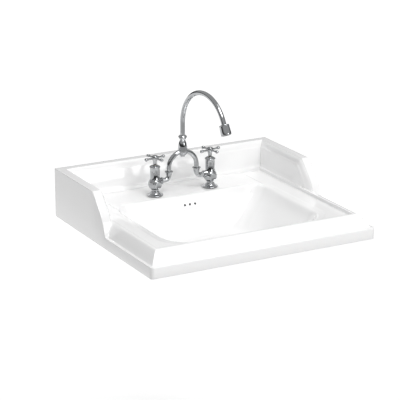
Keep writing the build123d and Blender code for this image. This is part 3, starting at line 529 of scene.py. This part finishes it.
# The front boss and the inward neck are turned about axes that start in the bulb.
BOSS = [(0.0, 8.0), (10.5, 8.0), (10.5, 18.6), (10.2, 19.6), (9.5, 20.3), (8.6, 20.5), (8.0, 20.4),
        (7.4, 20.1), (0.0, 20.1)]
NECK_START = [(0.0, 8.0), (10.4, 12.0), (9.4, 15.5), (8.5, 18.4)]
NECK_END = [(8.4, 65.4), (8.8, 64.6), (9.7, 64.2), (9.8, 63.4), (9.4, 62.6), (8.6, 62.5), (0.0, 62.5)]
BRANCH_Z = 94.0
COVER = outline([(9.6, 101.0), (13.1, 101.0), (13.4, 101.4), (13.3, 102.2), (12.8, 103.0), (12.8, 131.8),
                 (13.0, 132.6), (13.8, 133.6), (14.4, 134.4), (14.5, 135.4), (14.3, 136.4), (13.6, 137.1)],
                [(13.2, 137.4), (11.6, 138.4), (8.6, 139.7), (6.2, 140.4)],
                [(5.4, 140.6), (4.8, 140.6), (4.8, 128.0), (9.6, 124.0)], 4)
KNOB = outline([(4.04, 141.2), (5.3, 141.2)],
               [(5.5, 141.6), (5.0, 145.5), (5.4, 150.5), (6.8, 155.0), (8.2, 158.6), (8.4, 161.4),
                (7.9, 163.8), (7.2, 165.6)],
               [(6.9, 166.0), (6.44, 166.0), (6.44, 164.5), (4.04, 164.5)], 4)
# A cross arm, turned about a level axis from the knob outwards, and the ball at its end.
ARM = outline([(0.0, 5.0), (3.3, 5.0)],
              [(3.4, 7.0), (2.9, 12.0), (2.5, 17.0), (2.4, 21.0), (2.7, 23.0)],
              [(3.4, 23.2), (3.6, 23.8), (3.5, 24.4), (2.9, 24.8), (2.9, 27.0), (0.0, 27.0)], 4)
ARM_Z, ARM_TURN, ARM_COUNT, BALL_OUT, BALL_R = 160.0, 11.0, 4, 29.3, 4.6
CAP = outline([(0.0, 164.5), (6.4, 164.5), (6.4, 166.1)],
              [(6.2, 166.4), (5.4, 166.9), (3.0, 167.6), (0.0, 168.0)], steps=4)
UNION = outline([(7.04, 106.0), (7.7, 106.0)],
                [(7.9, 106.4), (8.0, 109.0), (8.7, 112.0), (10.2, 114.2), (11.3, 115.2)],
                [(11.6, 115.7), (11.6, 116.3), (11.3, 116.8), (10.6, 117.0), (6.24, 117.0), (6.24, 113.5),
                 (7.04, 113.5)])
HUB_Z, HUB_R = 167.0, 13.2
HUB_FOOT = [(0.0, 152.8), (4.6, 152.8), (5.6, 153.2), (6.0, 154.2)]
HUB_BELL = outline([], [(13.2, 169.0), (12.8, 175.0), (12.0, 183.0), (10.6, 190.0), (8.4, 195.6),
                        (6.9, 198.2)],
                   [(7.4, 199.6), (8.6, 201.6), (9.3, 203.4), (9.3, 209.5), (0.0, 209.5)])
HUB_BALL_FROM, HUB_BALL_STEPS = 155.3, 14
COLLAR = outline([(9.34, 203.4), (9.8, 203.4)],
                 [(10.0, 203.8), (10.8, 205.2), (11.6, 206.6), (11.8, 207.6), (11.4, 208.8), (10.2, 210.6)],
                 [(9.2, 211.6), (8.6, 211.8), (6.84, 211.8), (6.84, 209.54), (9.34, 209.54)])
SPOUT_RIB = [(0.0, 207.2), (7.9, 207.2), (7.9, 209.46), (0.0, 209.46)]
# The nozzle, turned about the spout's end and measured back from its mouth.
NOZZLE = outline([(11.2, 0.0), (13.2, 0.0)],
                 [(13.6, 0.3), (14.0, 1.6), (14.2, 4.5), (14.1, 9.0), (13.7, 17.0), (13.3, 24.0)],
                 [(13.1, 25.2), (13.3, 25.9), (13.8, 26.3), (13.9, 26.9), (13.6, 27.6), (12.8, 28.0),
                  (6.84, 28.0), (6.84, 17.0), (5.5, 17.0), (11.2, 13.0)])

# ------------------------------------------------------------------ tap: bent tubes
ELBOW_R, ELBOW_BEND, ELBOW_START, ELBOW_STEPS = 7.0, 12.0, 69.0, 14
ARCH_R, ARCH_STRAIGHT, ARCH_STOP, ARCH_STEPS = 6.2, 5.0, 7.5, 40
UNION_Z = 113.5
SPOUT_R, SPOUT_BEND, SPOUT_BEND_Z, SPOUT_STEPS = 6.8, 102.0, 246.0, 96
SPOUT_RISE = (202.8, 214.0, 226.0, 238.0)
SPOUT_END, NOZZLE_LENGTH = 16.0, 17.0
SPOUT_TURN, SPOUT_SWEEP = math.radians(5.0), math.radians(155.0)


def upright(x, y):
    return Matrix.Translation((x, y, 0.0))


def facing(origin, direction):
    """A matrix whose Z axis points along direction from origin."""
    return Matrix.Translation(origin) @ Vector(direction).to_track_quat("Z", "X").to_matrix().to_4x4()


def turned(points, matrix, segments=TURNED_SEGMENTS):
    """A closed outline of (radius, height), turned about the matrix's Z axis."""
    return lathe_arrays(metres(points + points[:1]), matrix, segments)


def sphere_arc(radius, centre_z, z_from, z_to, steps=16):
    """Points of a ball's outline between two heights."""
    a = math.asin((z_from - centre_z) / radius)
    b = math.asin((z_to - centre_z) / radius)
    angles = [a + (b - a) * i / steps for i in range(steps + 1)]
    return [(max(radius * math.cos(t), 0.0), centre_z + radius * math.sin(t)) for t in angles]


def ball(middle, radius):
    angles = [math.pi * i / BALL_RINGS for i in range(1, BALL_RINGS)]
    points = [(0.0, -radius)] + [(radius * math.sin(t), -radius * math.cos(t)) for t in angles]
    return lathe_arrays(points + [(0.0, radius)], Matrix.Translation(middle), BALL_SEGMENTS)


def arc_points(middle, u, v, radius, start, end, steps):
    """Points of an arc in the plane of unit vectors u and v."""
    angles = [start + (end - start) * i / steps for i in range(steps + 1)]
    return [middle + u * (radius * math.cos(t)) + v * (radius * math.sin(t)) for t in angles]


TAP_Y = centre("spout_rings").y
HUB = Vector((0.0, TAP_Y, 0.0))
BRIDGE_X = abs(centre("union_collar_right").x)

for side, sign in SIDES:
    tap = centre(f"base_flange_{side}")
    axis = upright(tap.x, TAP_Y)
    piece(f"foot_{side}", turned(FOOT, axis), "body", f"base_flange_{side}")

    stem = STEM + sphere_arc(BULB_R, BULB_Z, BULB_FROM, BULB_TO) + STEM_END
    bulb = Vector((tap.x, TAP_Y, BULB_Z * MM))
    branch = Vector((tap.x, TAP_Y, BRANCH_Z * MM))
    reach = abs(tap.x) / MM
    neck = NECK_START + [(r, reach - from_hub) for r, from_hub in NECK_END]
    arrays = joined(turned(stem, axis), turned(BOSS, facing(bulb, (0, -1, 0))),
                    turned(neck, facing(branch, (-sign, 0, 0))))
    piece(f"pillar_{side}", arrays, "body", f"pillar_body_{side}")
    piece(f"cover_{side}", turned(COVER, axis), "body", f"bonnet_{side}")

    parts = [turned(KNOB, axis)]
    middle = Vector((tap.x, TAP_Y, ARM_Z * MM))
    for arm in range(ARM_COUNT):
        angle = math.radians(ARM_TURN + 360.0 / ARM_COUNT * arm)
        out = Vector((math.cos(angle), math.sin(angle), 0.0))
        parts.append(turned(ARM, facing(middle, out), ARM_SEGMENTS))
        parts.append(ball(middle + out * (BALL_OUT * MM), BALL_R * MM))
    piece(f"cross_{side}", joined(*parts), f"{side}_valve", f"handle_{side}")
    piece(f"cap_{side}", turned(CAP, axis), f"{side}_valve", f"index_cap_{side}")

    across = Vector((sign, 0.0, 0.0))
    start = Vector((sign * ELBOW_START, 0, BRANCH_Z)) * MM + HUB
    bend = Vector((sign * (BRIDGE_X / MM + ELBOW_BEND), 0, BRANCH_Z + ELBOW_BEND)) * MM + HUB
    union = Vector((sign * BRIDGE_X, TAP_Y, UNION_Z * MM))
    path = [start, start.lerp(Vector((bend.x, TAP_Y, start.z)), 0.5)]
    path += arc_points(bend, across, UP, ELBOW_BEND * MM, -math.pi / 2, -math.pi, ELBOW_STEPS)
    piece(f"bend_{side}", tube_arrays(path + [union], ELBOW_R), "body", f"elbow_{side}")
    piece(f"union_{side}", turned(UNION, upright(sign * BRIDGE_X, TAP_Y)), "body",
          f"union_collar_{side}")

    arch_end = math.acos(ARCH_STOP / (BRIDGE_X / MM))
    pivot = Vector((0.0, TAP_Y, HUB_Z * MM - BRIDGE_X))
    path = [union, Vector((sign * BRIDGE_X, TAP_Y, (UNION_Z + ARCH_STRAIGHT) * MM))]
    path += arc_points(pivot, across, UP, BRIDGE_X, 0.0, arch_end, ARCH_STEPS)
    piece(f"arch_{side}", tube_arrays(path, ARCH_R), "body", f"arch_tube_{side}")

hub_axis = upright(0.0, TAP_Y)
bell = HUB_FOOT + sphere_arc(HUB_R, HUB_Z, HUB_BALL_FROM, HUB_Z, HUB_BALL_STEPS) + HUB_BELL
piece("bridge_bell", turned(bell, hub_axis), "body", "bridge_hub")
piece("collar", turned(COLLAR, hub_axis), "body", "spout_collar")

out = Vector((math.sin(SPOUT_TURN), -math.cos(SPOUT_TURN), 0.0))
bend_r = SPOUT_BEND * MM
path = [Vector((0.0, TAP_Y, z * MM)) for z in SPOUT_RISE]
path += arc_points(HUB + out * bend_r + Vector((0, 0, SPOUT_BEND_Z * MM)), -out, UP, bend_r, 0.0,
                   SPOUT_SWEEP, SPOUT_STEPS)
along = out * math.sin(SPOUT_SWEEP) + Vector((0, 0, math.cos(SPOUT_SWEEP)))
path += [path[-1] + along * (SPOUT_END * MM)]
piece("swan_neck", joined(tube_arrays(path, SPOUT_R, SPOUT_SEGMENTS), turned(SPOUT_RIB, hub_axis)),
      "spout", "spout_tube")
mouth = path[-1] + along * (NOZZLE_LENGTH * MM)
piece("nozzle", turned(NOZZLE, facing(mouth, -along)), "spout", "aerator_housing")

# ------------------------------------------------------------------ carried-over nodes
slots = {s["node"]: s["material_slot"] for s in frame["record"]["subparts"]}
for name, obj in frame["nodes"].items():
    obj.data.materials.clear()
    obj.data.materials.append(BY_SLOT[slots[name]])
    for poly in obj.data.polygons:
        poly.material_index = 0

# ------------------------------------------------------------------ stage, lights and camera, in metres
FLOOR_Z, FLOOR_HALF_W, FLOOR_FRONT, FLOOR_BACK, FLOOR_Y = -0.85, 30, -30, 40, -0.25
# Glow: where it starts and ends to change, then its strength at the two. The floor's two are added up
# along Y, so that it is dark in front of the basin and white behind; the sky's goes up with Z.
FLOOR_GLOW = ((-0.1, 0.7, 0.03, 0.42), (0.6, 5.0, 0.0, 0.22))
SKY_GLOW = (0.12, 0.42, 0.06, 0.52)
MIDDLE = Vector((0.0, -0.25, 0.1))
LIGHT_DISTANCE = 3.2
# Lights: name, azimuth (0 in front, positive to the right), elevation, size, power in watts.
LIGHTS = (("overhead", 0, 60, 1.5, 54), ("high_right", 60, 65, 1.2, 7), ("low_front", 20, 16, 1.3, 16))
AIM = Vector((-0.0224, -0.255, 0.0718))
CAMERA_AZIMUTH, CAMERA_ELEVATION, CAMERA_DISTANCE = -28.52, 17.67, 4.6844
SENSOR, LENS = 36.0, 160.19


def glow(tree, value, limits):
    """A smooth change from one strength to another as value passes between two limits."""
    rise = tree.nodes.new("ShaderNodeMapRange")
    rise.interpolation_type = "SMOOTHSTEP"
    for socket, number in zip(("From Min", "From Max", "To Min", "To Max"), limits):
        rise.inputs[socket].default_value = number
    tree.links.new(value, rise.inputs["Value"])
    return rise.outputs["Result"]


def coordinates(tree, kind):
    """Separate X, Y and Z outputs of a kind of texture coordinate."""
    axes = tree.nodes.new("ShaderNodeSeparateXYZ")
    tree.links.new(tree.nodes.new("ShaderNodeTexCoord").outputs[kind], axes.inputs["Vector"])
    return axes.outputs


def away(azimuth, elevation):
    """The unit vector from the basin towards an azimuth and elevation in degrees."""
    a, e = math.radians(azimuth), math.radians(elevation)
    return Vector((math.sin(a) * math.cos(e), -math.cos(a) * math.cos(e), math.sin(e)))


def placed(name, data, target, direction, distance):
    """An object at a distance from target, looking at it."""
    obj = bpy.data.objects.new(name, data)
    obj.location = target + direction * distance
    obj.rotation_euler = (-direction).to_track_quat("-Z", "Y").to_euler()
    bpy.context.scene.collection.objects.link(obj)
    return obj


FLOOR = material("floor", (0.9, 0.9, 0.9), 0.9)
tree = FLOOR.node_tree
shader = tree.nodes["Principled BSDF"]
shader.inputs["Emission Color"].default_value = (1, 1, 1, 1)
total = tree.nodes.new("ShaderNodeMath")
total.operation = "ADD"
depth_axis = coordinates(tree, "Object")["Y"]
for socket, limits in zip(total.inputs, FLOOR_GLOW):
    tree.links.new(glow(tree, depth_axis, limits), socket)
tree.links.new(total.outputs["Value"], shader.inputs["Emission Strength"])
floor = new_object("floor", [(-FLOOR_HALF_W, FLOOR_FRONT, 0), (FLOOR_HALF_W, FLOOR_FRONT, 0),
                             (FLOOR_HALF_W, FLOOR_BACK, 0), (-FLOOR_HALF_W, FLOOR_BACK, 0)],
                   [(0, 1, 2, 3)], FLOOR, False)
floor.location = (0.0, FLOOR_Y, FLOOR_Z)

scene = bpy.context.scene
world = bpy.data.worlds.new("studio")
scene.world = world
world.use_nodes = True
tree = world.node_tree
background = tree.nodes["Background"]
background.inputs["Color"].default_value = (1, 1, 1, 1)
tree.links.new(glow(tree, coordinates(tree, "Generated")["Z"], SKY_GLOW), background.inputs["Strength"])

for name, azimuth, elevation, size, power in LIGHTS:
    lamp = bpy.data.lights.new(name, "AREA")
    lamp.shape = "DISK"
    lamp.size = size
    lamp.energy = power
    placed(name, lamp, MIDDLE, away(azimuth, elevation), LIGHT_DISTANCE)

scene.view_settings.view_transform = "Standard"
camera_data = bpy.data.cameras.new("camera")
camera_data.sensor_width = SENSOR
camera_data.lens = LENS
scene.camera = placed("camera", camera_data, AIM, away(CAMERA_AZIMUTH, CAMERA_ELEVATION), CAMERA_DISTANCE)
